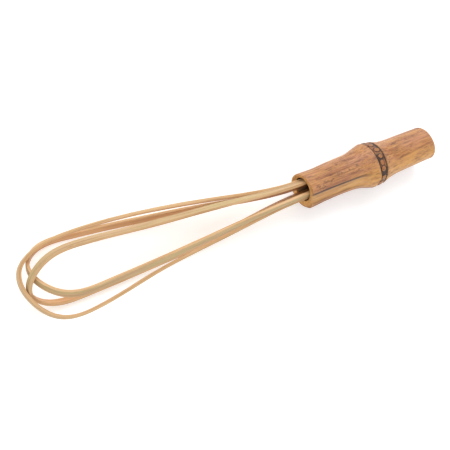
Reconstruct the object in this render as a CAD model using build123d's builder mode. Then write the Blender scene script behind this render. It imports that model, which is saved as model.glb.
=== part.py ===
from build123d import *
import math
import os
from dataclasses import dataclass

# A bamboo whisk with three bent loops. The handle is a short length of culm with one node.
# Three strips of split bamboo are bent into long loops, and their tails sit in the open
# end of the culm, held by a wedge and resin. It is drawn lying on a table, at z = 0, as it
# comes to rest: on the ring of the node, on the back arm of the middle loop and on the front
# arm of the inner loop.
# Millimetres. +X runs from the handle towards the loops, and +Z is up.

# ---- Resting pose: where the mouth of the culm is, and how far the axis rises -----------
MOUTH_X = -42.2
MOUTH_Y = 1.65
MOUTH_Z = 12.84
AXIS_RISE = -0.87           # degrees, the loops' end is the lower one
ROLL = 0.2                  # degrees, turns the whole whisk about its axis

# ---- Culm: stations are distances behind the mouth, radii are from the axis -------------
CULM_LENGTH = 93.0
MOUTH_RADIUS = 10.9
WAIST_RADIUS = 10.5         # thinnest place of the front internode
WAIST_STATION = 14.0
SHOULDER_RADIUS = 11.2      # where the culm starts to swell towards the node
SHOULDER_STATION = 36.0
SCAR_STATION = 47.3         # scar ring left by the sheath
SCAR_RADIUS = 13.5
NODE_BAND = 5.4             # band of root buds between the scar ring and the rear ring
NODE_STEP = 0.5             # depth of the small steps beside the two rings
SCAR_RUN = 1.6              # length of the step behind the scar ring, in step depths
BAND_FALL = 1.5             # how far below the scar ring the band ends, in step depths
RIDGE_FALL = 1.8            # how far below it the rear ring ends, in step depths
BAND_HOLLOW = 0.2
MOUTH_SLOPE = (-1, -0.03)   # directions of the outside: at the mouth, before the scar ring,
SCAR_SLOPE = (-1, 0.35)     # behind the rear ring and at the butt
RIDGE_SLOPE = (-1, -0.4)
BUTT_SLOPE = (-1, 0)
REAR_NECK_RADIUS = 10.9
REAR_NECK_STATION = 62.0
REAR_RADIUS = 10.3
REAR_EDGE = 0.6             # rounding of the cut rear edge
SOCKET_RADIUS = 7.0         # hollow of the front internode, which holds the strips
SOCKET_DEPTH = 45.5
REAR_BORE_RADIUS = 4.6      # hollow of the rear internode, open at the butt
REAR_BORE_DEPTH = 41.0
MOUTH_EDGE = 0.35
GROOVE_ANGLE = 132.5        # degrees round from straight down, towards +Y
GROOVE_RADIUS = 9.0         # radius of the channel's own section
GROOVE_DEPTH = 1.2
GROOVE_END = 34.0           # station where the channel starts to run out
GROOVE_OVERRUN = 1.0        # how far the cut runs out past the mouth

# ---- Strips ------------------------------------------------------------------------------
STRIP_THICKNESS = 1.9
STRIP_WIDTH = 4.2
STRIP_EDGE = 0.45
TAIL_LENGTH = 34.0          # straight length inside the socket
STATIONS = (0.30, 0.60, 0.82, 0.95)     # places along the reach where the spread is given
UNTWIST_LENGTH = 85.0       # the strips turn into the plane of their loop over this length
HALF_SECTIONS = 21          # sections along each half of a loop

# ---- Wedge and resin ---------------------------------------------------------------------
WEDGE_STATION = 18.0        # front end of the wedge, behind the mouth
WEDGE_LENGTH = 20.0
WEDGE_WIDTH = 6.4
WEDGE_SHIFT = 1.2           # off the axis, towards the side where the tails leave more room
WEDGE_FRONT = 3.0           # thickness at its two ends
WEDGE_BACK = 2.2
GLUE_STATION = 27.0         # the front face of the resin

os.makedirs("parts", exist_ok=True)


@dataclass(frozen=True)
class Loop:
    """One bent strip.

    The loop lies close to a plane through the culm's axis. Spreads are distances from the
    axis, in that plane, of the strip's middle at each of the stations.

    turn:         degrees from straight down, towards +Y, of the front arm
    reach:        how far the loop's tip is from the mouth
    back, front:  spreads of the two arms, at the mouth and then at the stations
    tip:          where the tip is: (towards the front arm, out of the plane)
    lean:         how far out of the plane the arms start at the mouth: (back, front)
    twist:        degrees that the sections are turned at the mouth, about the axis
    """

    turn: float
    reach: float
    back: tuple
    front: tuple
    tip: tuple
    lean: tuple
    twist: float


OUTER = Loop(
    turn=89.2, reach=173.9,
    back=(5.1, 11.8, 19.9, 22.3, 19.0), front=(5.15, 8.6, 13.6, 19.3, 15.2),
    tip=(-12.8, 1.5), lean=(-1.0, -1.0), twist=0.0,
)
INNER = Loop(
    turn=47.3, reach=173.0,
    back=(4.85, 10.1, 15.7, 20.4, 16.9), front=(3.85, 9.3, 12.4, 13.3, 9.3),
    tip=(-1.5, 0.8), lean=(0.3, -1.05), twist=16.0,
)
MIDDLE = Loop(
    turn=125.8, reach=168.2,
    back=(3.85, 10.0, 17.8, 22.2, 20.3), front=(4.95, 8.8, 13.6, 16.2, 13.2),
    tip=(-11.5, 7.1), lean=(-1.05, 0.4), twist=-16.0,
)

# ---- Places on the lying whisk -----------------------------------------------------------
RISE = math.radians(AXIS_RISE)
MOUTH = Vector(MOUTH_X, MOUTH_Y, MOUTH_Z)
ALONG = Vector(math.cos(RISE), 0, math.sin(RISE))
culm_axis = Axis(MOUTH, ALONG)


def across(angle):
    """Unit vector square to the axis, at an angle in degrees from down towards +Y."""
    turned = math.radians(angle + ROLL)
    down = Vector(math.sin(RISE), 0, -math.cos(RISE))
    return down * math.cos(turned) + Vector(0, 1, 0) * math.sin(turned)


def culm_section(station, angle=0.0):
    """Plane square to the axis, a distance behind the mouth, that faces the loops."""
    return Plane(origin=MOUTH - ALONG * station, x_dir=across(angle), z_dir=ALONG)


def lengthwise_plane(angle):
    """Plane through the axis: x along it towards the loops, y at the given angle."""
    return Plane(origin=MOUTH, x_dir=ALONG, z_dir=ALONG.cross(across(angle)))


# ---- Handle ------------------------------------------------------------------------------
rear_ring = SCAR_STATION + NODE_BAND
with BuildPart() as handle_culm:
    with BuildSketch(lengthwise_plane(0)):
        with BuildLine():
            front = Spline(
                (0, MOUTH_RADIUS),
                (-WAIST_STATION, WAIST_RADIUS),
                (-SHOULDER_STATION, SHOULDER_RADIUS),
                (-SCAR_STATION, SCAR_RADIUS),
                tangents=[MOUTH_SLOPE, SCAR_SLOPE],
            )
            scar = ThreePointArc(
                front @ 1,
                (-SCAR_STATION - NODE_STEP, SCAR_RADIUS),
                (-SCAR_STATION - SCAR_RUN * NODE_STEP, SCAR_RADIUS - NODE_STEP),
            )
            band = ThreePointArc(
                scar @ 1,
                (-SCAR_STATION - NODE_BAND / 2, SCAR_RADIUS - BAND_HOLLOW),
                (-rear_ring + NODE_STEP, SCAR_RADIUS - BAND_FALL * NODE_STEP),
            )
            ridge = ThreePointArc(
                band @ 1,
                (-rear_ring, SCAR_RADIUS - NODE_STEP),
                (-rear_ring - NODE_STEP, SCAR_RADIUS - RIDGE_FALL * NODE_STEP),
            )
            rear = Spline(
                ridge @ 1,
                (-REAR_NECK_STATION, REAR_NECK_RADIUS),
                (-CULM_LENGTH, REAR_RADIUS),
                tangents=[RIDGE_SLOPE, BUTT_SLOPE],
            )
            Polyline(rear @ 1, (-CULM_LENGTH, 0), (0, 0), front @ 0)
        make_face()
    revolve(axis=culm_axis)

    groove_centre = across(GROOVE_ANGLE) * (MOUTH_RADIUS + GROOVE_RADIUS - GROOVE_DEPTH)
    groove_end = MOUTH - ALONG * GROOVE_END + groove_centre
    with BuildSketch(Plane(origin=groove_end, x_dir=groove_centre, z_dir=ALONG)):
        Circle(GROOVE_RADIUS)
    extrude(amount=GROOVE_END + GROOVE_OVERRUN, mode=Mode.SUBTRACT)
    with Locations(groove_end):
        Sphere(GROOVE_RADIUS, mode=Mode.SUBTRACT)

    with BuildSketch(culm_section(SOCKET_DEPTH)):
        Circle(SOCKET_RADIUS)
    extrude(amount=SOCKET_DEPTH, mode=Mode.SUBTRACT)
    with BuildSketch(culm_section(CULM_LENGTH)):
        Circle(REAR_BORE_RADIUS)
    extrude(amount=REAR_BORE_DEPTH, mode=Mode.SUBTRACT)

    butt = faces().sort_by(culm_axis)[0]
    fillet(butt.outer_wire().edges(), REAR_EDGE)
    mouth_face = faces().sort_by(culm_axis)[-1]
    fillet(mouth_face.outer_wire().edges(), MOUTH_EDGE)
handle_culm.part.label = "handle_culm"
export_step(handle_culm.part, "parts/handle_culm.step")


# ---- Strips ------------------------------------------------------------------------------
def settled(distance):
    """1 at the mouth, falling smoothly to 0 at the end of the untwisting length."""
    share = min(max(distance / UNTWIST_LENGTH, 0), 1)
    return 1 - share * share * (3 - 2 * share)


def middle_line(loop):
    """Points of the strip's middle: along the axis, towards the front arm, out of plane."""
    tip_side, tip_out = loop.tip
    shares = (0,) + STATIONS
    back_arm = [
        (share * loop.reach, -spread, loop.lean[0] + (tip_out - loop.lean[0]) * share)
        for share, spread in zip(shares, loop.back)
    ]
    front_arm = [
        (share * loop.reach, spread, loop.lean[1] + (tip_out - loop.lean[1]) * share)
        for share, spread in zip(shares, loop.front)
    ]
    return back_arm + [(loop.reach, tip_side, tip_out)] + front_arm[::-1]


def loop_path(loop):
    """The strip's middle from mouth to mouth, leaving and entering it along the axis."""
    with BuildLine() as middle:
        Spline(*middle_line(loop), tangents=[(1, 0, 0), (-1, 0, 0)])
    return lengthwise_plane(loop.turn).from_local_coords(middle.edge())


def strip_section(loop, path, share):
    """Plane of one section: x is the strip's outward side, y is its width."""
    here = path @ share
    along_strip = path % share
    loop_normal = lengthwise_plane(loop.turn).z_dir
    outward = along_strip.cross(loop_normal)
    turn = loop.twist * settled((here - MOUTH).dot(ALONG))
    return Plane(origin=here, x_dir=outward.rotate(culm_axis, turn), z_dir=along_strip)


def mouth_sections(loop):
    """The sections at the strip's two ends of the loop, and the way into the socket."""
    path = loop_path(loop)
    return (strip_section(loop, path, 0), -1), (strip_section(loop, path, 1), 1)


def bent_strip(loop):
    """A strip of split bamboo: two straight tails and the loop between them."""
    path = loop_path(loop)
    with BuildPart() as strip:
        for start in (0, 0.5):
            for number in range(HALF_SECTIONS):
                share = start + 0.5 * number / (HALF_SECTIONS - 1)
                with BuildSketch(strip_section(loop, path, share)):
                    RectangleRounded(STRIP_THICKNESS, STRIP_WIDTH, STRIP_EDGE)
            loft()
        for end, inward in mouth_sections(loop):
            with BuildSketch(end):
                RectangleRounded(STRIP_THICKNESS, STRIP_WIDTH, STRIP_EDGE)
            extrude(amount=inward * TAIL_LENGTH)
    return strip.part


outer_strip = bent_strip(OUTER)
middle_strip = bent_strip(MIDDLE)
inner_strip = bent_strip(INNER)
strips = {"outer_strip": outer_strip, "middle_strip": middle_strip, "inner_strip": inner_strip}
for name, part in strips.items():
    part.label = name
    export_step(part, f"parts/{name}.step")

# ---- Wedge driven between the tails ------------------------------------------------------
with BuildPart() as tail_wedge:
    for station, thickness in ((0, WEDGE_FRONT), (WEDGE_LENGTH, WEDGE_BACK)):
        with BuildSketch(culm_section(WEDGE_STATION + station, OUTER.turn)):
            with Locations((0, WEDGE_SHIFT)):
                Rectangle(thickness, WEDGE_WIDTH)
    loft(ruled=True)
tail_wedge.part.label = "tail_wedge"
export_step(tail_wedge.part, "parts/tail_wedge.step")

# ---- Resin at the bottom of the socket, around the tails and the wedge -------------------
with BuildPart() as glue_plug:
    with BuildSketch(culm_section(SOCKET_DEPTH)):
        Circle(SOCKET_RADIUS)
    extrude(amount=SOCKET_DEPTH - GLUE_STATION)
    for loop in (OUTER, MIDDLE, INNER):
        for end, inward in mouth_sections(loop):
            with BuildSketch(end):
                RectangleRounded(STRIP_THICKNESS, STRIP_WIDTH, STRIP_EDGE)
            extrude(amount=inward * TAIL_LENGTH, mode=Mode.SUBTRACT)
    add(tail_wedge.part, mode=Mode.SUBTRACT)
glue_plug.part.label = "glue_plug"
export_step(glue_plug.part, "parts/glue_plug.step")
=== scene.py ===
import logging
import math
from dataclasses import dataclass
from enum import Enum

import bpy
import numpy as np
from mathutils import Matrix, Vector


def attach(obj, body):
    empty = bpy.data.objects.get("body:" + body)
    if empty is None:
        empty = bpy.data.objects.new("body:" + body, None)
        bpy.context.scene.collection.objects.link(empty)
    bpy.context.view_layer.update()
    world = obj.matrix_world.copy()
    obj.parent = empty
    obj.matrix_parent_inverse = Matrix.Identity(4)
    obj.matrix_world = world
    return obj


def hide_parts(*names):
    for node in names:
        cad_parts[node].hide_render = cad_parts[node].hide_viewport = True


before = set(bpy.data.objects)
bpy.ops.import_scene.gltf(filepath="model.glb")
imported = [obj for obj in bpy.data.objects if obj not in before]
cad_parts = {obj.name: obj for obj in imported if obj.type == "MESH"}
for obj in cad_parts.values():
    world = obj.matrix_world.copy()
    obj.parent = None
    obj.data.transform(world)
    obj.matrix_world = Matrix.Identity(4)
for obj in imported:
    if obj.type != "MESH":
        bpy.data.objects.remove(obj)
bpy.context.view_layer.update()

# A bamboo whisk: a short heat-browned culm with one node as its handle, and three strips of
# split bamboo bent into long loops. Sizes in the classes are millimetres. Meshes are metres.

MM = 0.001
GRAIN = "grain"             # point attribute: place in the bamboo, (along, across, through), mm
BODY = "root"
log = logging.getLogger("whisk")

Array = np.ndarray
Material = bpy.types.Material
Object = bpy.types.Object
Socket = bpy.types.NodeSocket
Colour = tuple[int, int, int]               # display colour, 0 to 255 each
Triple = tuple[float, float, float]
Profile = tuple[tuple[float, float], ...]   # pairs of station and value


# ---- Where things are ----------------------------------------------------------------------
@dataclass(frozen=True)
class Lying:
    """How the whisk lies on the table.

    mouth is the middle of the culm's open end, rise the slope of the axis in degrees, and roll
    the turn of the whole whisk about its axis in degrees.
    """

    mouth: Triple = (-42.2, 1.65, 12.84)
    rise: float = -0.87
    roll: float = 0.2

    def along(self) -> Array:
        """Unit vector of the axis, from the handle towards the loops."""
        slope = math.radians(self.rise)
        return np.array([math.cos(slope), 0.0, math.sin(slope)])

    def across(self, angle: Array | float) -> Array:
        """Unit vectors square to the axis.

        Args:
            angle: degrees from straight down, towards +Y.

        Returns:
            An array with the shape of angle and a last side of 3.
        """
        turned = np.radians(np.asarray(angle, float) + self.roll)[..., None]
        slope = math.radians(self.rise)
        down = np.array([math.sin(slope), 0.0, -math.cos(slope)])
        return down * np.cos(turned) + np.array([0.0, 1.0, 0.0]) * np.sin(turned)


LYING = Lying()


def smooth_step(value: Array, low: float, high: float) -> Array:
    """0 below low, 1 above high, and 3t^2 - 2t^3 between them."""
    share = np.clip((value - low) / (high - low), 0.0, 1.0)
    return share * share * (3.0 - 2.0 * share)


def through_points(
    knots: Array, values: Array, places: Array, ends: Array
) -> tuple[Array, Array]:
    """Smooth cubic curve through points, with its slope given at both ends.

    The slopes at the inner knots make the second derivative continuous: they solve the usual
    three-term system, and each span is then the Hermite cubic of its end values and slopes.

    Args:
        knots: rising parameter of each point.
        values: the points, one row each.
        places: parameters at which the curve is wanted.
        ends: slopes at the first and the last point.

    Returns:
        The places' values and their slopes, one row each.
    """
    span = np.diff(knots)
    count = len(knots)
    system = np.zeros((count, count))
    right = np.zeros_like(values)
    system[0, 0] = system[-1, -1] = 1.0
    right[0], right[-1] = ends
    inner = np.arange(1, count - 1)
    system[inner, inner - 1] = span[1:]
    system[inner, inner] = 2.0 * (span[:-1] + span[1:])
    system[inner, inner + 1] = span[:-1]
    chord = np.diff(values, axis=0) / span[:, None]
    right[1:-1] = 3.0 * (span[1:, None] * chord[:-1] + span[:-1, None] * chord[1:])
    slope = np.linalg.solve(system, right)
    at = np.clip(np.searchsorted(knots, places, side="right") - 1, 0, count - 2)
    wide = span[at][:, None]
    u = ((places - knots[at]) / span[at])[:, None]
    a, b, m, n = values[at], values[at + 1], slope[at] * wide, slope[at + 1] * wide
    place = (
        a * (1 + 2 * u) * (1 - u) ** 2
        + m * u * (1 - u) ** 2
        + b * u * u * (3 - 2 * u)
        + n * u * u * (u - 1)
    )
    lean = (
        6 * u * (u - 1) * (a - b) + m * (1 - u) * (1 - 3 * u) + n * u * (3 * u - 2)
    ) / wide
    return place, lean


def unit(rows: Array) -> Array:
    """Each row divided by its length."""
    return rows / np.linalg.norm(rows, axis=-1, keepdims=True)


def hump(value: Array, middle: float, half_width: float, power: int = 2) -> Array:
    """exp(-((value - middle) / half_width)^power): 1 at the middle, 0 far from it."""
    return np.exp(-(((value - middle) / half_width) ** power))


def running_length(points: Array) -> Array:
    """Distance along a row of points, from the first to each of them."""
    steps = np.linalg.norm(np.diff(points, axis=0), axis=1)
    return np.concatenate([[0.0], np.cumsum(steps)])


def wander(places: Array, wavelength: float, seed: int) -> Array:
    """Slow irregular wave between about -1 and 1: a sum of sines with random phases."""
    rng = np.random.default_rng(seed)
    waves = np.array([1.0, 0.57, 0.31, 0.19])
    heights = np.array([0.5, 0.28, 0.15, 0.07])
    phases = rng.uniform(0.0, 2.0 * np.pi, len(waves))
    turns = 2.0 * np.pi * np.asarray(places)[..., None] / (wavelength * waves) + phases
    return (np.sin(turns) * heights).sum(-1)


# ---- Meshes --------------------------------------------------------------------------------
def closed_tube(
    name: str, rings: Array, attributes: dict[str, Array], zones: Array | None = None
) -> Object:
    """A tube of rings, closed at both ends, as one mesh whose faces point outwards.

    Vertex (i, j) is point j of ring i. Quads join neighbouring rings and wrap round, and each
    end is a fan to the middle of its ring.

    Args:
        name: the piece's name.
        rings: millimetres, shape (rings, points in a ring, 3).
        attributes: numbers or vectors for each point of the rings, by name.
        zones: material number of each band of quads, one fewer than the rings.

    Returns:
        The new object, at the origin.
    """
    rows, cols = rings.shape[:2]
    ends = np.stack([rings[0].mean(0), rings[-1].mean(0)])
    points = np.vstack([rings.reshape(-1, 3), ends]) * MM
    i, j = np.meshgrid(np.arange(rows - 1), np.arange(cols), indexing="ij")
    k = (j + 1) % cols
    quads = np.stack([i * cols + j, i * cols + k, (i + 1) * cols + k, (i + 1) * cols + j], -1)
    quads = quads.reshape(-1, 4)
    near = np.arange(cols)
    after = (near + 1) % cols
    first = np.stack([np.full(cols, rows * cols), after, near], -1)
    base = (rows - 1) * cols
    last = np.stack([np.full(cols, rows * cols + 1), base + near, base + after], -1)
    fans = np.vstack([first, last])
    a, b, c, d = (points[quads[:, n]] for n in range(4))
    volume = np.einsum("ij,ij->", np.cross(b - a, c - a), a)
    volume += np.einsum("ij,ij->", np.cross(c - a, d - a), a)
    if volume < 0:
        quads, fans = quads[:, ::-1], fans[:, ::-1]
    mesh = bpy.data.meshes.new(name)
    corners = np.concatenate([quads.ravel(), fans.ravel()])
    sides = np.concatenate([np.full(len(quads), 4), np.full(len(fans), 3)])
    mesh.vertices.add(len(points))
    mesh.vertices.foreach_set("co", points.astype(np.float32).ravel())
    mesh.loops.add(len(corners))
    mesh.loops.foreach_set("vertex_index", corners.astype(np.int32))
    mesh.polygons.add(len(sides))
    starts = np.concatenate([[0], np.cumsum(sides)[:-1]])
    mesh.polygons.foreach_set("loop_start", starts.astype(np.int32))
    mesh.polygons.foreach_set("use_smooth", np.ones(len(sides), bool))
    if zones is not None:
        caps = np.repeat([zones[0], zones[-1]], cols)
        wanted = np.concatenate([np.repeat(zones, cols), caps])
        mesh.polygons.foreach_set("material_index", wanted.astype(np.int32))
    mesh.update(calc_edges=True)
    mesh.validate()
    for label, values in attributes.items():
        vector = values.ndim == 3
        flat = values.reshape(rows * cols, -1)
        middle = np.stack([values[n].reshape(cols, -1).mean(0) for n in (0, -1)])
        whole = np.vstack([flat, middle]).astype(np.float32)
        kind = "FLOAT_VECTOR" if vector else "FLOAT"
        layer = mesh.attributes.new(label, kind, "POINT")
        layer.data.foreach_set("vector" if vector else "value", whole.ravel())
    piece = bpy.data.objects.new(name, mesh)
    bpy.context.scene.collection.objects.link(piece)
    return piece


def report(piece: Object) -> None:
    """Writes the piece's name and triangle count to the log."""
    piece.data.calc_loop_triangles()
    log.info("%s: %d triangles", piece.name, len(piece.data.loop_triangles))


# ---- Shader parts --------------------------------------------------------------------------
WHITE = (1.0, 1.0, 1.0, 1.0)
MIX_SHARE, MIX_UNDER, MIX_OVER, MIXED = 0, 6, 7, 2      # the Mix node's sockets for colours


def linear(red: int, green: int, blue: int) -> tuple[float, float, float, float]:
    """A display colour, 0 to 255 each, as linear light."""
    share = np.array([red, green, blue]) / 255.0
    light = np.where(share <= 0.04045, share / 12.92, ((share + 0.055) / 1.055) ** 2.4)
    return (*(float(x) for x in light), 1.0)


class Graph:
    """Adds nodes to one node tree, and joins them."""

    def __init__(self, tree: bpy.types.NodeTree) -> None:
        """Works on the given node tree."""
        self.tree = tree

    def feed(self, socket: Socket, value: object) -> None:
        """Joins an output to the socket, or sets the socket's own value."""
        if isinstance(value, Socket):
            self.tree.links.new(value, socket)
        else:
            socket.default_value = value

    def node(self, kind: str, **values: object) -> bpy.types.Node:
        """A new node of that kind.

        Args:
            kind: the node's type.
            values: its inputs, with a capital and with underscores for spaces, and its
                settings, in small letters.

        Returns:
            The node, with the inputs joined or set.
        """
        made = self.tree.nodes.new(kind)
        for key, value in values.items():
            if key[0].isupper():
                self.feed(made.inputs[key.replace("_", " ")], value)
            else:
                setattr(made, key, value)
        return made

    def grain(self) -> Socket:
        """The place in the bamboo, in millimetres: along, across and through."""
        return self.node("ShaderNodeAttribute", attribute_name=GRAIN).outputs["Vector"]

    def mask(self, name: str) -> Socket:
        """A number that the mesh carries at each point."""
        return self.node("ShaderNodeAttribute", attribute_name=name).outputs["Fac"]

    def object_mm(self) -> Socket:
        """Object coordinates in millimetres."""
        place = self.node("ShaderNodeTexCoord").outputs["Object"]
        return self.stretch(place, (1000.0, 1000.0, 1000.0))

    def stretch(self, place: Socket, scale: Triple) -> Socket:
        """The place with each of its three numbers multiplied."""
        made = self.node("ShaderNodeVectorMath", operation="MULTIPLY")
        self.feed(made.inputs[0], place)
        made.inputs[1].default_value = scale
        return made.outputs["Vector"]

    def noise(
        self, place: Socket, scale: float = 1.0, detail: float = 3.0, rough: float = 0.55
    ) -> Socket:
        """Cloudy noise, 0 to 1."""
        settings = {"Scale": scale, "Detail": detail, "Roughness": rough}
        return self.node("ShaderNodeTexNoise", Vector=place, **settings).outputs["Fac"]

    def streaks(
        self, place: Socket, along: float, across: float, detail: float = 3.0, rough: float = 0.55
    ) -> Socket:
        """Cloudy noise with its own scale along the bamboo, so that it draws out in streaks."""
        return self.noise(self.stretch(place, (along, across, across)), 1.0, detail, rough)

    def _sum(self, operation: str, a: object, b: object) -> Socket:
        """One sum on two numbers."""
        made = self.node("ShaderNodeMath", operation=operation)
        self.feed(made.inputs[0], a)
        self.feed(made.inputs[1], b)
        return made.outputs[0]

    def times(self, a: object, b: object) -> Socket:
        """a multiplied by b."""
        return self._sum("MULTIPLY", a, b)

    def plus(self, a: object, b: object) -> Socket:
        """a and b added."""
        return self._sum("ADD", a, b)

    def minus(self, a: object, b: object) -> Socket:
        """a less b."""
        return self._sum("SUBTRACT", a, b)

    def ramp(
        self, value: Socket, low: object, high: object, bottom: float = 0.0, top: float = 1.0
    ) -> Socket:
        """bottom where the value is under low, top where it is over high, smooth between."""
        made = self.node(
            "ShaderNodeMapRange", interpolation_type="SMOOTHSTEP", Value=value,
            From_Min=low, From_Max=high, To_Min=bottom, To_Max=top,
        )
        return made.outputs["Result"]

    def mix(self, share: object, under: Socket | Colour, over: Socket | Colour) -> Socket:
        """One colour laid over another by a share of 0 to 1.

        Args:
            share: how much of the upper colour shows.
            under: the lower colour, from a node or as a display colour.
            over: the upper colour, likewise.

        Returns:
            The mixed colour.
        """
        made = self.node("ShaderNodeMix", data_type="RGBA")
        self.feed(made.inputs[MIX_SHARE], share)
        for number, colour in ((MIX_UNDER, under), (MIX_OVER, over)):
            value = linear(*colour) if isinstance(colour, tuple) else colour
            self.feed(made.inputs[number], value)
        return made.outputs[MIXED]

    def layers(self, colour: Socket | Colour, *coats: tuple[object, Socket | Colour]) -> Socket:
        """Colours laid over a first one in turn, each with its own share of 0 to 1."""
        for share, over in coats:
            colour = self.mix(share, colour, over)
        return colour

    def effect(self, group: bpy.types.NodeTree, **inputs: object) -> bpy.types.NodeOutputs:
        """The outputs of a shared effect, with its inputs joined or set."""
        return self.node("ShaderNodeGroup", node_tree=group, **inputs).outputs


class Effect(Graph):
    """A node group: a graph with named inputs and outputs. Every output is a number."""

    def __init__(
        self, name: str, inputs: dict[str, float | None], outputs: tuple[str, ...]
    ) -> None:
        """Starts the group.

        Args:
            name: the group's name.
            inputs: each input's default, or None for a vector.
            outputs: names of the outputs.
        """
        super().__init__(bpy.data.node_groups.new(name, "ShaderNodeTree"))
        sockets = self.tree.interface
        for label, default in inputs.items():
            kind = "NodeSocketVector" if default is None else "NodeSocketFloat"
            made = sockets.new_socket(label, in_out="INPUT", socket_type=kind)
            if default is not None:
                made.default_value = default
        for label in outputs:
            sockets.new_socket(label, in_out="OUTPUT", socket_type="NodeSocketFloat")
        self.given = self.node("NodeGroupInput").outputs
        self.out = self.node("NodeGroupOutput").inputs


class SharedEffects:
    """The effects that several finishes use, each built once as a node group."""

    def __init__(self) -> None:
        """Builds the groups."""
        self.fibres = self._fibres()
        self.specks = self._specks()
        self.bundles = self._bundles()
        self.wear = self._wear()

    def _fibres(self) -> bpy.types.NodeTree:
        """Long fine lines that run along the bamboo: noise stretched along the grain."""
        inputs = {"Place": None, "Contrast": 1.0}
        group = Effect("Bamboo fibres", inputs, ("Lines", "Broad", "Height"))
        place = group.given["Place"]
        fine = group.streaks(place, 0.03, 1.5, 3.0, 0.65)
        hair = group.streaks(place, 0.05, 5.0, 3.0, 0.6)
        broad = group.streaks(place, 0.022, 0.42, 3.0, 0.6)
        lines = group.plus(group.times(fine, 0.62), group.times(hair, 0.38))
        centred = group.times(group.minus(lines, 0.5), group.given["Contrast"])
        group.feed(group.out["Lines"], group.plus(centred, 0.5))
        group.feed(group.out["Broad"], group.ramp(broad, 0.36, 0.64))
        group.feed(group.out["Height"], lines)
        return group.tree

    def _specks(self) -> bpy.types.NodeTree:
        """Short dark flecks, longer along the grain, gathered in patches."""
        group = Effect("Dark flecks", {"Place": None, "Amount": 0.5}, ("Mask", "Patches"))
        place = group.given["Place"]
        flecks = group.streaks(place, 0.55, 1.9, 4.0, 0.68)
        patches = group.streaks(place, 0.07, 0.24, 2.0, 0.5)
        gathered = group.ramp(patches, 0.42, 0.68)
        level = group.minus(0.70, group.times(group.given["Amount"], 0.16))
        sharp = group.ramp(flecks, level, group.plus(level, 0.12))
        group.feed(group.out["Mask"], group.times(sharp, gathered))
        group.feed(group.out["Patches"], gathered)
        return group.tree

    def _bundles(self) -> bpy.types.NodeTree:
        """Dark dots of a cut end: cells a fraction of a millimetre wide, dark in the middle."""
        group = Effect("Cut fibre ends", {"Place": None, "Size": 1.0}, ("Dots",))
        flat = group.stretch(group.given["Place"], (0.05, 2.1, 2.1))
        cells = group.node("ShaderNodeTexVoronoi", feature="F1", Vector=flat, Scale=1.0)
        edge = group.times(group.given["Size"], 0.30)
        clear = group.ramp(cells.outputs["Distance"], group.times(edge, 0.4), edge)
        group.feed(group.out["Dots"], group.minus(1.0, clear))
        return group.tree

    def _wear(self) -> bpy.types.NodeTree:
        """An edge mask broken up by noise, so that wear comes and goes along an edge."""
        inputs = {"Place": None, "Edge": 0.0, "Strength": 0.6}
        group = Effect("Edge wear", inputs, ("Mask",))
        rough = group.streaks(group.given["Place"], 0.35, 1.1, 4.0, 0.65)
        worn = group.times(group.given["Edge"], group.ramp(rough, 0.36, 0.62))
        group.feed(group.out["Mask"], group.times(worn, group.given["Strength"]))
        return group.tree


class Surface(Graph):
    """A material's graph, which ends in a Principled shader."""

    def __init__(self, name: str) -> None:
        """Starts a new material with that name."""
        self.material = bpy.data.materials.new(name)
        self.material.use_nodes = True
        self.material.node_tree.nodes.clear()
        super().__init__(self.material.node_tree)

    def bump(self, height: Socket, depth: float) -> Socket:
        """The normal of a height map; depth is in millimetres."""
        bump = self.node("ShaderNodeBump", Strength=1.0, Distance=depth * MM, Height=height)
        return bump.outputs["Normal"]

    def finish(self, colour: Socket, rough: Socket, shine: float, **inputs: object) -> Material:
        """Ends the graph in a Principled shader.

        Args:
            colour: the base colour.
            rough: the roughness.
            shine: the specular level.
            inputs: the shader's other inputs, named as node names them.

        Returns:
            The material.
        """
        shader = self.node(
            "ShaderNodeBsdfPrincipled", Base_Color=colour, Roughness=rough,
            Specular_IOR_Level=shine, **inputs,
        )
        self.node("ShaderNodeOutputMaterial", Surface=shader.outputs["BSDF"])
        return self.material


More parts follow.
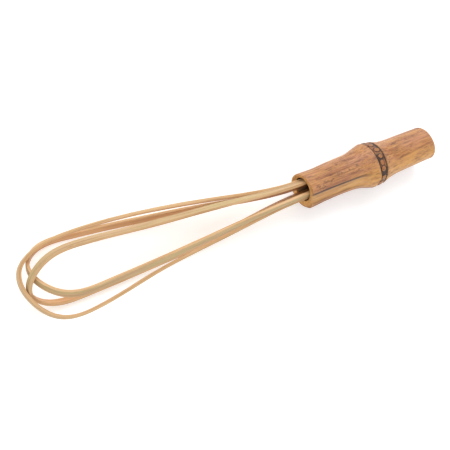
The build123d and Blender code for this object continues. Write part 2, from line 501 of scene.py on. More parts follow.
@dataclass(frozen=True)
class CulmSkin:
    """Outside of the culm, browned over heat: orange brown with pale streaks and dark flecks, and
    painted shade on its underside and along the groove's rims.
    """

    brown: Colour = (174, 112, 68)
    pale: Colour = (208, 150, 88)
    rose: Colour = (200, 142, 108)
    scorched: Colour = (112, 70, 48)
    fleck: Colour = (74, 54, 50)
    groove: Colour = (222, 172, 106)
    # painted shade, laid over the culm's underside and its +Y side
    underside_shade: Colour = (132, 80, 52)
    # dark colour of the node rings and the bud ground, and of the painted shade along the groove's
    # rims
    ring: Colour = (46, 31, 29)
    bud: Colour = (182, 126, 68)
    gold: Colour = (224, 166, 92)
    shine: float = 0.42
    relief: float = 0.16

    def browning(
        self, graph: Graph, place: Socket, broad: Socket, lines: Socket
    ) -> tuple[Socket, Socket]:
        """The browned colour, with clouds and with scorched and pale streaks.

        Args:
            graph: the material's graph.
            place: the place in the bamboo.
            broad: the broad streaks.
            lines: the fine lines.

        Returns:
            The colour, and the noise that its streaks come from.
        """
        cloud = graph.ramp(graph.streaks(place, 0.05, 0.13, 2.0), 0.38, 0.62)
        smear = graph.streaks(place, 0.16, 0.62, 4.0, 0.66)
        scorch = graph.noise(graph.stretch(place, (0.045, 0.5, 0.5)), 1.3, 4.0, 0.62)
        colour = graph.layers(
            self.brown,
            (graph.times(broad, 0.85), self.pale),
            (graph.times(cloud, 0.55), self.rose),
            (graph.times(graph.ramp(scorch, 0.52, 0.72), 0.55), self.scorched),
            (graph.ramp(smear, 0.53, 0.66, 0.0, 0.5), self.scorched),
            (graph.ramp(smear, 0.34, 0.47, 0.5, 0.0), self.pale),
            (graph.ramp(lines, 0.28, 0.56, 0.62, 0.0), self.scorched),
            (graph.ramp(lines, 0.56, 0.78, 0.0, 0.5), self.pale),
        )
        return colour, smear

    def node_band(self, graph: Graph, place: Socket, broad: Socket) -> tuple[Socket, Socket]:
        """The band of root buds: brown ovals with ragged dark outlines on a dark ground.

        Args:
            graph: the material's graph.
            place: the place in the bamboo.
            broad: the broad streaks.

        Returns:
            The band's colour, and a mask of the insides of the buds.
        """
        bud = graph.mask("bud")
        jag = graph.times(graph.minus(graph.noise(place, 1.2, 3.0, 0.65), 0.5), 1.15)
        rim = graph.plus(bud, jag)
        inside = graph.ramp(rim, 0.30, 0.75)
        outline = graph.times(graph.ramp(rim, 0.12, 0.34), graph.ramp(rim, 0.52, 0.80, 1.0, 0.0))
        patches = graph.streaks(place, 0.12, 0.12, 2.0)
        gap = graph.ramp(patches, 0.42, 0.58, 0.25, 0.92)
        core = graph.ramp(graph.plus(bud, graph.times(jag, 1.6)), 0.98, 1.16)
        colour = graph.layers(
            self.bud,
            (broad, self.brown),
            (graph.times(graph.minus(1.0, inside), gap), self.ring),
            (graph.times(outline, 0.9), self.ring),
            (graph.times(core, 0.8), self.scorched),
        )
        return colour, inside

    def build(self, effects: SharedEffects) -> Material:
        """The finish as a material."""
        graph = Surface("Culm skin")
        place = graph.grain()
        fibres = graph.effect(effects.fibres, Place=place, Contrast=1.5)
        specks = graph.effect(effects.specks, Place=place, Amount=0.95)
        edge = graph.mask("edge")
        wear = graph.effect(effects.wear, Place=place, Edge=edge, Strength=0.55)
        broad, lines, flecks = fibres["Broad"], fibres["Lines"], specks["Mask"]
        colour, smear = self.browning(graph, place, broad, lines)
        smudge = graph.ramp(graph.streaks(place, 0.22, 0.5, 3.0, 0.6), 0.55, 0.68)
        groove, band = graph.mask("groove"), graph.mask("band")
        buds, inside = self.node_band(graph, place, broad)
        broken = graph.ramp(graph.noise(place, 0.8), 0.2, 0.5, 0.6, 1.0)
        patchy = graph.ramp(smear, 0.42, 0.60, 0.9, 0.3)
        colour = graph.layers(
            colour,
            (graph.times(graph.times(smudge, specks["Patches"]), 0.55), self.fleck),
            (graph.times(flecks, 0.78), self.fleck),
            (graph.times(graph.mask("sunny"), patchy), self.gold),
            (graph.times(groove, graph.ramp(lines, 0.3, 0.6, 0.5, 0.9)), self.groove),
            (graph.times(groove, graph.ramp(broad, 0.5, 0.8, 0.0, 0.45)), self.brown),
            # Painted shade: a dark line along the groove's rims, where the surface steps down,
            # strongest on the upper rim.
            (graph.times(graph.mask("lip"), graph.ramp(lines, 0.3, 0.7, 1.0, 0.75)), self.ring),
            (wear["Mask"], self.pale),
            # Painted shade: umber over the culm's underside and its +Y side, away from the key
            # lamp.
            (graph.times(graph.mask("under"), 0.85), self.underside_shade),
            (band, buds),
            (graph.times(graph.mask("ring"), broken), self.ring),
        )
        rough = graph.ramp(lines, 0.25, 0.75, 0.52, 0.36)
        rough = graph.plus(rough, graph.times(flecks, 0.25))
        height = graph.plus(fibres["Height"], graph.times(flecks, -0.8))
        height = graph.plus(height, graph.times(inside, graph.times(band, 0.5)))
        normal = graph.bump(height, self.relief)
        return graph.finish(colour, rough, self.shine, Normal=normal)


@dataclass(frozen=True)
class CutEnd:
    """Sawn end of the culm: ochre, with the dots of cut fibres, darker towards the skin."""

    ochre: Colour = (198, 142, 80)
    light: Colour = (220, 170, 104)
    dot: Colour = (112, 72, 42)
    rind: Colour = (140, 92, 56)
    shine: float = 0.3
    relief: float = 0.18

    def build(self, effects: SharedEffects) -> Material:
        """The finish as a material."""
        graph = Surface("Culm cut end")
        place = graph.grain()
        dots = graph.effect(effects.bundles, Place=place, Size=1.15)["Dots"]
        cloud = graph.streaks(place, 0.3, 0.5, 4.0, 0.6)
        saw = graph.noise(graph.stretch(place, (0.2, 0.35, 2.6)), 1.0, 3.0, 0.6)
        rind = graph.mask("edge")
        colour = graph.layers(
            self.ochre,
            (graph.ramp(cloud, 0.35, 0.65), self.light),
            (graph.times(rind, 0.6), self.rind),
            (graph.times(dots, graph.ramp(rind, 0.0, 1.0, 0.45, 0.75)), self.dot),
            (graph.ramp(saw, 0.35, 0.5, 0.3, 0.0), self.dot),
        )
        rough = graph.ramp(cloud, 0.2, 0.8, 0.62, 0.8)
        height = graph.minus(graph.times(saw, 0.7), graph.times(dots, 0.4))
        normal = graph.bump(height, self.relief)
        return graph.finish(colour, rough, self.shine, Normal=normal)


@dataclass(frozen=True)
class HollowWall:
    """Inside of the culm: greyish brown pith skin with fine lengthwise fibres, and painted shade
    that darkens further in.
    """

    pale: Colour = (190, 158, 118)
    dark: Colour = (112, 84, 62)
    dust: Colour = (206, 190, 160)
    # painted shade, darker further into the socket and the bore, at full strength from deep_from
    # millimetres in
    painted_depth_shade: Colour = (64, 44, 32)
    deep_from: float = 22.0
    shine: float = 0.25
    relief: float = 0.2

    def build(self, effects: SharedEffects) -> Material:
        """The finish as a material."""
        graph = Surface("Culm hollow")
        place = graph.grain()
        fibres = graph.effect(effects.fibres, Place=place, Contrast=1.8)
        dust = graph.effect(effects.specks, Place=place, Amount=0.8)["Mask"]
        lines = fibres["Lines"]
        colour = graph.layers(
            self.pale,
            (fibres["Broad"], self.dark),
            (graph.ramp(lines, 0.3, 0.7, 0.35, 0.0), self.dark),
            (graph.times(dust, 0.4), self.dust),
            # Painted shade: darker with distance in from the mouth and from the butt.
            (graph.ramp(graph.mask("depth_in"), 0.0, self.deep_from, 0.0, 0.72), self.painted_depth_shade),
        )
        rough = graph.ramp(lines, 0.2, 0.8, 0.85, 0.65)
        normal = graph.bump(fibres["Height"], self.relief)
        return graph.finish(colour, rough, self.shine, Normal=normal)


@dataclass(frozen=True)
class SplitBamboo:
    """A split strip: olive tan skin side, warmer orange inner side, pale peach cut edges, and
    painted shade where it goes into the culm.
    """

    skin: Colour = (196, 172, 122)
    skin_warm: Colour = (200, 165, 124)
    inner: Colour = (202, 148, 98)
    inner_pale: Colour = (218, 172, 122)
    cut: Colour = (224, 186, 140)
    cut_warm: Colour = (212, 170, 120)
    fibre: Colour = (148, 108, 66)
    # colour of the dark flecks, and of the painted shade inside the culm's mouth
    fleck_and_shade: Colour = (120, 88, 58)
    shine: float = 0.38
    relief: float = 0.12

    def build(self, effects: SharedEffects) -> Material:
        """The finish as a material."""
        graph = Surface("Split bamboo")
        place = graph.grain()
        fibres = graph.effect(effects.fibres, Place=place, Contrast=1.6)
        flecks = graph.effect(effects.specks, Place=place, Amount=0.25)["Mask"]
        edge = graph.mask("edge")
        wear = graph.effect(effects.wear, Place=place, Edge=edge, Strength=0.5)
        lines, broad = fibres["Lines"], fibres["Broad"]
        skin = graph.mix(broad, self.skin, self.skin_warm)
        inner = graph.mix(broad, self.inner, self.inner_pale)
        cut = graph.mix(broad, self.cut, self.cut_warm)
        through = graph.mask("through")
        soft = graph.times(graph.minus(graph.noise(place, 0.9, 2.0), 0.5), 0.16)
        side = graph.plus(through, soft)
        colour = graph.layers(
            cut,
            (graph.ramp(side, 0.62, 0.97), skin),
            (graph.ramp(side, -0.62, -0.97), inner),
            (graph.ramp(lines, 0.26, 0.56, 0.55, 0.0), self.fibre),
            (graph.ramp(lines, 0.55, 0.8, 0.0, 0.35), self.cut),
            (graph.times(flecks, 0.4), self.fleck_and_shade),
            (wear["Mask"], self.cut),
            # Painted shade: darker as the strip goes into the culm's mouth, from 2 mm before it to
            # 12 mm in.
            (graph.ramp(graph.mask("inside"), -2.0, 12.0, 0.0, 0.6), self.fleck_and_shade),
        )
        rough = graph.plus(lines, graph.times(through, -0.12))
        rough = graph.ramp(rough, 0.2, 0.8, 0.62, 0.42)
        height = graph.minus(fibres["Height"], graph.times(flecks, 0.5))
        normal = graph.bump(height, self.relief)
        return graph.finish(colour, rough, self.shine, Normal=normal)


@dataclass(frozen=True)
class WedgeBamboo:
    """Split wedge inside the socket: raw bamboo, rough from the knife."""

    pale: Colour = (206, 168, 118)
    dark: Colour = (150, 108, 68)
    shine: float = 0.3
    relief: float = 0.2

    def build(self, effects: SharedEffects) -> Material:
        """The finish as a material."""
        graph = Surface("Wedge bamboo")
        place = graph.object_mm()
        fibres = graph.effect(effects.fibres, Place=place, Contrast=1.8)
        dots = graph.effect(effects.bundles, Place=place, Size=0.8)["Dots"]
        lines = fibres["Lines"]
        colour = graph.layers(
            self.pale,
            (fibres["Broad"], self.dark),
            (graph.ramp(lines, 0.3, 0.6, 0.5, 0.0), self.dark),
            (graph.times(dots, 0.25), self.dark),
        )
        rough = graph.ramp(lines, 0.2, 0.8, 0.8, 0.6)
        normal = graph.bump(fibres["Height"], self.relief)
        return graph.finish(colour, rough, self.shine, Normal=normal)


@dataclass(frozen=True)
class Resin:
    """Set resin at the bottom of the socket: amber brown, glossy, with bubbles and dust."""

    amber: Colour = (122, 76, 36)
    dark: Colour = (70, 42, 24)
    dust: Colour = (168, 140, 104)
    shine: float = 0.5
    relief: float = 0.25

    def build(self, effects: SharedEffects) -> Material:
        """The finish as a material."""
        graph = Surface("Set resin")
        place = graph.object_mm()
        cloud = graph.streaks(place, 0.3, 0.3, 4.0, 0.6)
        bubbles = graph.effect(effects.bundles, Place=place, Size=0.7)["Dots"]
        dust = graph.effect(effects.specks, Place=place, Amount=0.9)["Mask"]
        clouds = (graph.ramp(cloud, 0.35, 0.65), self.dark)
        colour = graph.layers(self.amber, clouds, (graph.times(dust, 0.6), self.dust))
        rough = graph.ramp(dust, 0.0, 1.0, 0.22, 0.7)
        normal = graph.bump(graph.plus(cloud, graph.times(bubbles, 0.35)), self.relief)
        return graph.finish(colour, rough, self.shine, Normal=normal)


@dataclass(frozen=True)
class TableTop:
    """Pale matt floor, which glows a little so that shadows on it stay faint."""

    pale: Colour = (247, 247, 247)
    tooth: Colour = (243, 243, 244)
    glow: float = 0.32
    shine: float = 0.1

    def build(self) -> Material:
        """The finish as a material."""
        graph = Surface("Pale table")
        cloud = graph.streaks(graph.object_mm(), 0.01, 0.01)
        colour = graph.mix(cloud, self.pale, self.tooth)
        rough = graph.ramp(cloud, 0.0, 1.0, 0.85, 0.95)
        glow = {"Emission_Color": WHITE, "Emission_Strength": self.glow}
        return graph.finish(colour, rough, self.shine, **glow)


class Finishes:
    """Every material of the whisk, built once."""

    def __init__(self) -> None:
        """Builds the shared effects and the materials that use them."""
        effects = SharedEffects()
        self.culm_skin = CulmSkin().build(effects)
        self.cut_end = CutEnd().build(effects)
        self.hollow = HollowWall().build(effects)
        self.split = SplitBamboo().build(effects)
        self.wedge = WedgeBamboo().build(effects)
        self.resin = Resin().build(effects)


def put_in_place(
    piece: Object, node: str, slot: str, *materials: Material
) -> Object:
    """Gives a piece its materials and its body, and lets it stand for its CAD node."""
    for material in materials:
        piece.data.materials.append(material)
    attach(piece, BODY)
    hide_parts(node)
    return piece


# ---- Handle --------------------------------------------------------------------------------
class Zone(Enum):
    """The parts of the culm's surface, and their material numbers."""

    SKIN = 0
    CUT = 1
    HOLLOW = 2


@dataclass(frozen=True)
class Culm:
    """The handle: a length of culm with one node.

    Stations are distances behind the mouth. skin_shape holds (station, radius) of the outside
    between the mouth and the butt. sway holds (station, distance) by which the culm's middle
    wanders towards +Y. Angles and half widths are degrees, and angles go from straight down
    towards +Y. A run is how far along the culm a rim or dent of the mouth goes.
    """

    length: float = 92.4
    skin_shape: Profile = (
        (0.0, 10.8), (9.0, 10.35), (20.0, 10.35), (30.0, 10.5), (36.0, 10.95), (41.0, 12.1),
        (45.0, 13.2), (47.3, 13.5), (52.7, 13.05), (57.0, 11.9), (63.0, 10.95), (73.0, 10.6),
        (84.0, 10.4), (92.4, 10.3),
    )
    sway: Profile = (
        (0.0, 0.35), (10.0, 0.4), (20.0, 0.3), (35.0, 0.25), (46.0, 0.35), (57.0, 0.55),
        (70.0, 0.2), (84.0, -0.1), (92.4, -0.2),
    )
    socket_radius: float = 7.0
    socket_depth: float = 45.5
    socket_round: float = 0.5
    bore_radius: float = 4.6
    bore_depth: float = 41.0
    bore_round: float = 0.3
    mouth_round: float = 0.45
    butt_round: float = 0.7
    butt_skew: float = 1.2
    butt_skew_run: float = 12.0
    mouth_skew: float = 0.8
    mouth_skew_run: float = 9.0
    scar_station: float = 47.3
    band_width: float = 5.4
    ring_half_width: float = 0.42
    groove_angle: float = 131.0
    groove_half_width: float = 17.0
    groove_depth: float = 1.25
    groove_end: float = 47.0
    groove_fade: float = 16.0
    rim_turn: float = 38.0
    rim_half_width: float = 16.0
    rim_run: float = 16.0
    rim_height: float = 0.75
    dent_angle: float = 258.0
    dent_half_width: float = 62.0
    dent_run: float = 14.0
    dent_depth: float = 0.8
    golden_angle: float = 112.0
    golden_half_width: float = 50.0
    golden_from: tuple[float, float] = (22.0, 44.0)
    columns: int = 264
    buds: int = 19

    def outline(self) -> tuple[Array, Array, Array]:
        """The half section that is carried round the axis, from socket floor to bore floor.

        Straight runs and quarter rounds follow each other. On the outside, rows are closest
        together at the node.

        Returns:
            Station and radius of each row, and the zone of each row. Radii on the outside are
            0 and are filled in by build.
        """
        quarter = np.linspace(0.0, np.pi / 2, 6)[1:]
        rise, fall = np.sin(quarter), np.cos(quarter)
        mouth_r, butt_r = self.skin_shape[0][1], self.skin_shape[-1][1]
        m, b, inner, lip = self.mouth_round, self.butt_round, self.bore_round, self.socket_round
        hollow, bore, end = self.socket_radius, self.bore_radius, self.length
        stops = (m, 40.0, 46.0, 54.5, 62.0, end - b)
        rows = (62, 18, 72, 18, 48)
        outside = np.concatenate([
            np.linspace(low, high, count)[1:]
            for low, high, count in zip(stops[:-1], stops[1:], rows)
        ])
        floor = end - self.bore_depth
        runs = (
            (np.full(5, self.socket_depth), np.linspace(0.5, hollow, 5), Zone.HOLLOW),
            (np.linspace(self.socket_depth, lip, 36)[1:], np.full(35, hollow), Zone.HOLLOW),
            (lip - lip * rise, hollow + lip - lip * fall, Zone.CUT),
            (np.zeros(12), np.linspace(hollow + lip, mouth_r - m, 13)[1:], Zone.CUT),
            (m - m * fall, mouth_r - m + m * rise, Zone.SKIN),
            (outside, np.zeros(len(outside)), Zone.SKIN),
            (end - b + b * rise, butt_r - b + b * fall, Zone.SKIN),
            (np.full(12, end), np.linspace(butt_r - b, bore + inner, 13)[1:], Zone.CUT),
            (end - inner * rise, bore + inner * fall, Zone.CUT),
            (np.linspace(end - inner, floor, 26)[1:], np.full(25, bore), Zone.HOLLOW),
            (np.full(4, floor), np.linspace(bore, 0.5, 5)[1:], Zone.HOLLOW),
        )
        station = np.concatenate([run[0] for run in runs])
        radius = np.concatenate([run[1] for run in runs])
        zone = np.concatenate([np.full(len(run[0]), run[2].value) for run in runs])
        return station, radius, zone

    def along_shape(self, shape: Profile, station: Array) -> Array:
        """The smooth curve through a shape's points, level at both ends."""
        table = np.array(shape)
        station = np.clip(station, 0, self.length)
        return through_points(table[:, 0], table[:, 1:], station, np.zeros((2, 1)))[0][:, 0]

    def from_groove(self, angle: Array) -> Array:
        """Degrees from the groove's middle, between -180 and 180."""
        return (angle - self.groove_angle + 180.0) % 360.0 - 180.0

    def rings(self, angle: Array) -> tuple[Array, Array]:
        """Stations of the two node rings: level lines with a slight wander.

        Returns:
            The scar ring, which is pulled back at the groove, and the rear ring.
        """
        pull = 0.9 * hump(self.from_groove(angle), 0.0, 16.0)
        scar = self.scar_station + 0.3 * wander(angle, 360.0, 4) + pull
        drift = 0.25 * wander(angle, 360.0, 5)
        return scar, self.scar_station + self.band_width + drift - 0.3 * pull

    def bud_field(self, station: Array, angle: Array) -> Array:
        """Root buds in the node's band: flat-topped ovals side by side, 1 in each one's middle.

        Each bud is exp(-0.9 (a^2 + s^2)^2) of its scaled angle a and station s, and the field
        is the largest of them.
        """
        rng = np.random.default_rng(11)
        pitch = 360.0 / self.buds
        centres = (np.arange(self.buds) + rng.uniform(-0.22, 0.22, self.buds)) * pitch
        wide = pitch * rng.uniform(0.34, 0.47, self.buds)
        tall = self.band_width * rng.uniform(0.28, 0.40, self.buds)
        middle = self.scar_station + self.band_width * rng.uniform(0.42, 0.58, self.buds)
        turn = (angle[..., None] - centres + 180.0) % 360.0 - 180.0
        reach = (turn / wide) ** 2 + ((station[..., None] - middle) / tall) ** 2
        return np.exp(-(reach**2) * 0.9).max(-1)

    def unevenness(self, s: Array, a: Array, groove: Array) -> Array:
        """What is added to the outside's radius along the culm, apart from the node.

        It is raised rims beside the groove at the mouth, less the groove itself, less a dent on
        the mouth's far side, plus fibre ridges and a slow swell.
        """
        rims = hump(np.abs(self.from_groove(a)), self.rim_turn, self.rim_half_width)
        rims = self.rim_height * rims * hump(s, 0.0, self.rim_run)
        dent = hump(a, self.dent_angle, self.dent_half_width) * hump(s, 0.0, self.dent_run)
        ridges = wander(a + 4.0 * wander(s, 60.0, 8), 90.0, 9) * 0.10 + wander(a, 14.0, 12) * 0.035
        ridges = ridges * (1.0 + 0.6 * wander(s, 50.0, 13))
        swell = 0.12 * wander(s, 70.0, 21)
        return rims - self.groove_depth * groove - self.dent_depth * dent + ridges + swell

    def slant(self, s: Array, a: Array, full: Array, share: Array) -> Array:
        """How far the slanted cuts at butt and mouth move each point back along the culm.

        At the butt it goes with the point's height over the middle, at the mouth with its
        nearness to the far side, and both fade out along the culm.
        """
        butt = self.butt_skew * np.cos(np.radians(a - 90.0)) * full / self.skin_shape[-1][1]
        butt = butt * smooth_step(s, self.length - self.butt_skew_run, self.length)
        far_side = 0.5 + 0.5 * np.cos(np.radians(a - 255.0))
        near_mouth = 1.0 - smooth_step(s, 0.0, self.mouth_skew_run)
        return butt - self.mouth_skew * far_side * share * near_mouth

    def build(self, finishes: Finishes) -> Object:
        """The culm as one closed surface of station and angle.

        A point is mouth - along * station + across(angle) * radius + sway * Y. On the outside
        the radius is the shape's, plus the unevenness, the step at each ring and the buds. The
        groove is exp(-(turn / half width)^4), faded out before the node.
        """
        station, base, zone = self.outline()
        angle = np.arange(self.columns) * (360.0 / self.columns)
        s, a = np.meshgrid(station, angle, indexing="ij")
        radius = np.where(base > 0, base, self.along_shape(self.skin_shape, station))
        share = smooth_step(radius, self.socket_radius + 0.8, 10.0)[:, None]
        outside = (zone == Zone.SKIN.value)[:, None]
        cut = (zone == Zone.CUT.value)[:, None]

        turn = self.from_groove(a)
        fade = 1.0 - smooth_step(s, self.groove_end - self.groove_fade, self.groove_end)
        groove = hump(turn, 0.0, self.groove_half_width, 4) * fade
        front, rear = self.rings(a)
        front_line = hump(s, front, self.ring_half_width)
        rear_line = hump(s, rear, self.ring_half_width)
        lip = hump(s, front - 0.75, 0.55) + 0.8 * hump(s, rear + 0.7, 0.6)
        band = smooth_step(s - front, -0.1, 0.35) * (1.0 - smooth_step(s - rear, -0.35, 0.1))
        bud = self.bud_field(s, a)
        relief = 0.22 * lip - 0.38 * front_line - 0.34 * rear_line + band * (0.34 * bud - 0.3)
        full = radius[:, None] + share * self.unevenness(s, a, groove)
        full = full + np.where(outside, relief, 0.0)

        sway = self.along_shape(self.sway, station)[:, None] * share
        saw = 0.10 * wander(a + radius[:, None] * 9.0, 60.0, 30)
        placed = s + np.where(cut, saw, 0.0) + self.slant(s, a, full, share)
        points = (
            np.array(LYING.mouth)
            - placed[..., None] * LYING.along()
            + full[..., None] * LYING.across(a)
            + sway[..., None] * np.array([0.0, 1.0, 0.0])
        )
        turned = np.radians(a)
        grain = np.stack([s, full * np.cos(turned), full * np.sin(turned)], -1)
        # Painted shade along the groove's rims: strong on the upper rim, weaker on the lower one.
        groove_rim_shade = hump(turn, self.groove_half_width * 1.05, 4.6, 4)
        groove_rim_shade = groove_rim_shade + 0.35 * hump(turn, -self.groove_half_width * 1.1, 2.5)
        edge = hump(s, 0.0, 0.9) + hump(s, self.length, 0.9)
        golden = hump(a, self.golden_angle, self.golden_half_width, 4)
        masks = {
            "groove": np.where(outside, groove, 0.0),
            # lip: the painted shade along the groove's rims, faded out before the node
            "lip": np.where(outside, groove_rim_shade * fade, 0.0),
            "band": np.where(outside, band, 0.0),
            # under: where the painted shade falls, strongest 84 degrees round from straight down,
            # a quarter of that straight down, none past 112.
            "under": smooth_step(-a, -112.0, -84.0) * (1.0 - smooth_step(-a, -84.0, 40.0)),
            "sunny": golden * smooth_step(s, *self.golden_from),
            "bud": bud,
            "ring": np.where(outside, np.maximum(front_line, rear_line), 0.0),
            "edge": np.where(outside, edge, np.where(cut, smooth_step(full, 9.3, 10.6), 0.0)),
            "depth_in": np.where(s < self.socket_depth + 0.5, s, self.length - s),
        }
        piece = closed_tube("culm_body", points, {GRAIN: grain, **masks}, zone[1:])
        skins = (finishes.culm_skin, finishes.cut_end, finishes.hollow)
        return put_in_place(piece, "handle_culm", "culm", *skins)


# ---- Strips --------------------------------------------------------------------------------
@dataclass(frozen=True)
class BentStrip:
    """One strip of split bamboo, bent into a loop, with both tails in the socket.

    The loop lies close to a plane through the axis. Spreads are distances from the axis, in
    that plane, of the strip's middle, at the mouth and then at the stations. tip is
    (towards the front arm, out of the plane), lean how far out of the plane the two arms start,
    turn the front arm's angle from straight down, towards +Y, and twist the degrees that the
    sections are turned at the mouth. side_points are the points between corners, on the cut
    edges and on the broad faces. seed_step moves each strip to its own part of the patterns.
    """

    name: str
    node: str
    turn: float
    reach: float
    back: tuple[float, ...]
    front: tuple[float, ...]
    tip: tuple[float, float]
    lean: tuple[float, float]
    twist: float
    seed: int
    stations: tuple[float, ...] = (0.0, 0.30, 0.60, 0.82, 0.95)
    thickness: float = 1.9
    width: float = 4.2
    skin_round: float = 0.38
    inner_round: float = 0.5
    tail: float = 34.0
    untwist: float = 85.0
    loop_rows: int = 620
    tail_rows: int = 40
    side_points: tuple[int, int] = (3, 9)
    crown: float = 0.09
    uneven_width: float = 0.035
    uneven_thickness: float = 0.045
    ripple: float = 0.03
    edge_waver: float = 0.04
    seed_step: float = 1000.0

    def centre_line(self) -> tuple[Array, Array, Array]:
        """The strip's middle from tail end to tail end, and its direction.

        The loop is a smooth cubic through the given points in (along, towards the front arm,
        out of plane), with the chord length as its parameter. The tails are straight runs along
        the axis.

        Returns:
            Local points, local directions, and the length measured along the strip.
        """
        share = np.array(self.stations)
        side, out = self.tip
        back = np.stack([share * self.reach, -np.array(self.back),
                         self.lean[0] + (out - self.lean[0]) * share], 1)
        front = np.stack([share * self.reach, np.array(self.front),
                          self.lean[1] + (out - self.lean[1]) * share], 1)
        points = np.vstack([back, [[self.reach, side, out]], front[::-1]])
        knots = running_length(points)
        ends = np.array([[1.0, 0.0, 0.0], [-1.0, 0.0, 0.0]])
        places = np.linspace(0, knots[-1], self.loop_rows)
        line, lean = through_points(knots, points, places, ends)
        inward = np.linspace(self.tail, 0.0, self.tail_rows, endpoint=False)
        into = line[0] - inward[:, None] * ends[0]
        outof = line[-1] + inward[::-1, None] * ends[1]
        line = np.vstack([into, line, outof])
        lean = np.vstack([np.tile(ends[0], (self.tail_rows, 1)), unit(lean),
                          np.tile(ends[1], (self.tail_rows, 1))])
        return line, lean, running_length(line)

    def section(self) -> tuple[Array, Array]:
        """The strip's section: a rectangle with rounded corners, smaller on the skin side.

        Returns:
            Outward and sideways offsets of each point, going round.
        """
        t, w = self.thickness / 2, self.width / 2
        quarter = np.linspace(0.0, np.pi / 2, 6)
        corners = []
        for outward, side, start in ((1, 1, 0.0), (-1, 1, 0.5), (-1, -1, 1.0), (1, -1, 1.5)):
            r = self.skin_round if outward > 0 else self.inner_round
            turn = quarter + start * np.pi
            corners.append(np.stack([outward * (t - r) + r * np.cos(turn),
                                     side * (w - r) + r * np.sin(turn)], 1))
        run = []
        for number, corner in enumerate(corners):
            following = corners[(number + 1) % len(corners)][0]
            between = self.side_points[number % 2]
            steps = np.linspace(0, 1, between + 2)[1:-1, None]
            run += [corner, corner[-1] + (following - corner[-1]) * steps]
        ring = np.vstack(run)
        return ring[:, 0], ring[:, 1]

    def build(self, finishes: Finishes) -> Object:
        """The strip as its section carried along its middle line.

        A point is middle + outward * thickness offset + sideways * width offset. The offsets
        are scaled by slow waves along the strip, as a hand-split strip's are, and the skin side
        is crowned by a parabola.
        """
        line, lean, length = self.centre_line()
        along, near = LYING.along(), LYING.across(self.turn)
        normal = np.cross(along, near)
        basis = np.stack([along, near, normal])
        middle = np.array(LYING.mouth) + line @ basis
        tangent = lean @ basis
        outward = unit(np.cross(tangent, normal))
        settled = 1.0 - smooth_step(line[:, 0], 0.0, self.untwist)
        turn = (np.radians(self.twist) * settled)[:, None]
        outward = (outward * np.cos(turn) + np.cross(along, outward) * np.sin(turn)
                   + along * (outward @ along)[:, None] * (1 - np.cos(turn)))
        outward = unit(outward - tangent * (outward * tangent).sum(1)[:, None])
        sideways = np.cross(tangent, outward)

        through, side = self.section()
        run = length[:, None]
        wide = 1.0 + self.uneven_width * wander(run, 110.0, self.seed)
        thick = 1.0 + self.uneven_thickness * wander(run, 80.0, self.seed + 1)
        crown = np.where(through > 0, self.crown * (1 - (side / (self.width / 2)) ** 2), 0.0)
        ripple = self.ripple * wander(run + side * 14.0, 26.0, self.seed + 2)
        ripple = ripple * (np.abs(through) > self.thickness * 0.45)
        waver = self.edge_waver * wander(run + through * 30.0, 40.0, self.seed + 3)
        out_by = (through + crown) * thick + ripple * np.sign(through)
        side_by = side * wide + waver
        rings = (
            middle[:, None]
            + outward[:, None] * out_by[..., None]
            + sideways[:, None] * side_by[..., None]
        )

        shape = (len(length), len(side))
        grain = np.stack([
            np.broadcast_to(run + self.seed_step * self.seed, shape),
            np.broadcast_to(side[None], shape),
            np.broadcast_to(through[None], shape),
        ], -1)
        corner = smooth_step(np.abs(through), 0.5, 0.78) * smooth_step(np.abs(side), 1.65, 1.95)
        masks = {
            "through": through / (self.thickness / 2),
            "edge": corner,
            # inside: how far the strip is inside the culm's mouth, for its painted shade
            "inside": -line[:, :1],
        }
        masks = {name: np.array(np.broadcast_to(mask, shape)) for name, mask in masks.items()}
        piece = closed_tube(self.name, rings, {GRAIN: grain, **masks})
        return put_in_place(piece, self.node, "split_bamboo", finishes.split)


OUTER = BentStrip(
    name="loop_outer", node="outer_strip", turn=89.2, reach=173.9,
    back=(5.1, 11.8, 19.9, 22.3, 19.0), front=(5.15, 8.6, 13.6, 19.3, 15.2),
    tip=(-12.8, 1.5), lean=(-1.0, -1.0), twist=0.0, seed=40,
)
INNER = BentStrip(
    name="loop_inner", node="inner_strip", turn=47.3, reach=173.0,
    back=(4.85, 10.1, 15.7, 20.4, 16.9), front=(3.85, 9.3, 12.4, 13.3, 9.3),
    tip=(-1.5, 0.8), lean=(0.3, -1.05), twist=16.0, seed=50,
)
MIDDLE = BentStrip(
    name="loop_middle", node="middle_strip", turn=125.8, reach=168.2,
    back=(3.85, 10.0, 17.8, 22.2, 20.3), front=(4.95, 8.8, 13.6, 16.2, 13.2),
    tip=(-11.5, 7.1), lean=(-1.05, 0.4), twist=-16.0, seed=60,
)


# ---- Hidden fixings ------------------------------------------------------------------------
@dataclass(frozen=True)
class SocketFixings:
    """The wedge and the resin that hold the tails. Their CAD shapes are right and stay."""

    wedge_node: str = "tail_wedge"
    resin_node: str = "glue_plug"

    def dress(self, finishes: Finishes) -> list[Object]:
        """Gives the two nodes their materials."""
        dressed = []
        for node, material, slot in (
            (self.wedge_node, finishes.wedge, "wedge_bamboo"),
            (self.resin_node, finishes.resin, "resin"),
        ):
            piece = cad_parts[node]
            piece.data.materials.clear()
            piece.data.materials.append(material)
            dressed.append(piece)
        return dressed


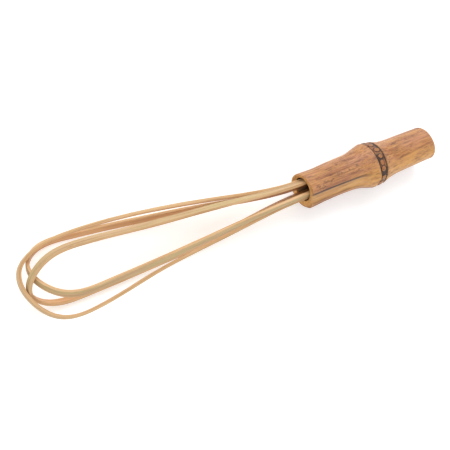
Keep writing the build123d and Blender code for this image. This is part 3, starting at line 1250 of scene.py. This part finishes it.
# ---- Table, light and camera ---------------------------------------------------------------
@dataclass(frozen=True)
class Lamp:
    """A square soft lamp: its place and side in metres, and its power in watts."""

    name: str
    place: Triple
    size: float
    power: float
    tint: Triple

    def light(self, target: Vector) -> None:
        """Adds the lamp to the scene, facing the target."""
        data = bpy.data.lights.new(self.name, "AREA")
        data.shape = "SQUARE"
        data.size = self.size
        data.energy = self.power
        data.color = self.tint
        made = bpy.data.objects.new(self.name, data)
        made.location = self.place
        made.rotation_mode = "QUATERNION"
        made.rotation_quaternion = (target - Vector(self.place)).to_track_quat("-Z", "Y")
        bpy.context.scene.collection.objects.link(made)


KEY = Lamp("key", (-0.40, -0.95, 1.05), size=1.3, power=12.0, tint=(1.0, 0.995, 0.985))
FILL = Lamp("fill", (0.55, 0.75, 0.85), size=1.2, power=2.0, tint=(0.98, 0.99, 1.0))


@dataclass(frozen=True)
class Studio:
    """Pale floor, soft light from above and behind, and the camera. Metres.

    sky is the strength of the sky's light. The camera sees the sky at full strength.
    """

    floor_half: float = 4.0
    floor_cells: int = 8
    eye: Triple = (0.3095, 0.0223, 0.5762)
    look_at: Triple = (0.0127, 0.0048, 0.0120)
    image_up: Triple = (-0.3170, -0.9280, 0.1956)
    lens: float = 92.0
    sensor: float = 36.0
    clip: tuple[float, float] = (0.01, 50.0)
    sky: float = 0.74

    def floor(self) -> Object:
        """A flat grid under the whisk."""
        side = self.floor_cells + 1
        steps = np.linspace(-self.floor_half, self.floor_half, side)
        x, y = np.meshgrid(steps, steps, indexing="ij")
        points = np.stack([x, y, np.zeros_like(x)], -1).reshape(-1, 3)
        cells = np.arange(self.floor_cells)
        corner = cells[:, None] * side + cells
        faces = np.stack([corner, corner + side, corner + side + 1, corner + 1], -1)
        mesh = bpy.data.meshes.new("floor")
        mesh.from_pydata(points.tolist(), [], faces.reshape(-1, 4).tolist())
        mesh.materials.append(TableTop().build())
        made = bpy.data.objects.new("floor", mesh)
        bpy.context.scene.collection.objects.link(made)
        return made

    def light(self) -> None:
        """An even pale sky, one broad lamp behind the handle's far side, and a weak fill."""
        world = bpy.data.worlds.new("Soft sky")
        world.use_nodes = True
        back = next(n for n in world.node_tree.nodes if n.type == "BACKGROUND")
        back.inputs["Color"].default_value = WHITE
        graph = Graph(world.node_tree)
        seen = graph.node("ShaderNodeLightPath").outputs["Is Camera Ray"]
        extra = graph.times(seen, 1.0 - self.sky)
        graph.feed(back.inputs["Strength"], graph.plus(extra, self.sky))
        bpy.context.scene.world = world
        for lamp in (KEY, FILL):
            lamp.light(Vector(self.look_at))

    def camera(self) -> Object:
        """The camera, turned so that image_up is upwards in the picture."""
        data = bpy.data.cameras.new("camera")
        data.lens = self.lens
        data.sensor_width = self.sensor
        data.clip_start, data.clip_end = self.clip
        made = bpy.data.objects.new("camera", data)
        backward = (Vector(self.eye) - Vector(self.look_at)).normalized()
        right = Vector(self.image_up).cross(backward).normalized()
        upward = backward.cross(right)
        turn = Matrix((right, upward, backward)).transposed()
        made.matrix_world = Matrix.Translation(self.eye) @ turn.to_4x4()
        bpy.context.scene.collection.objects.link(made)
        bpy.context.scene.camera = made
        return made


def main() -> None:
    """Builds the whisk, its table, its light and its camera, and reports each piece."""
    logging.basicConfig(level=logging.INFO)
    finishes = Finishes()
    report(Culm().build(finishes))
    for strip in (OUTER, MIDDLE, INNER):
        report(strip.build(finishes))
    for piece in SocketFixings().dress(finishes):
        report(piece)
    studio = Studio()
    studio.floor()
    studio.light()
    studio.camera()
    bpy.context.scene.view_settings.view_transform = "Standard"


if __name__ == "__main__":
    main()
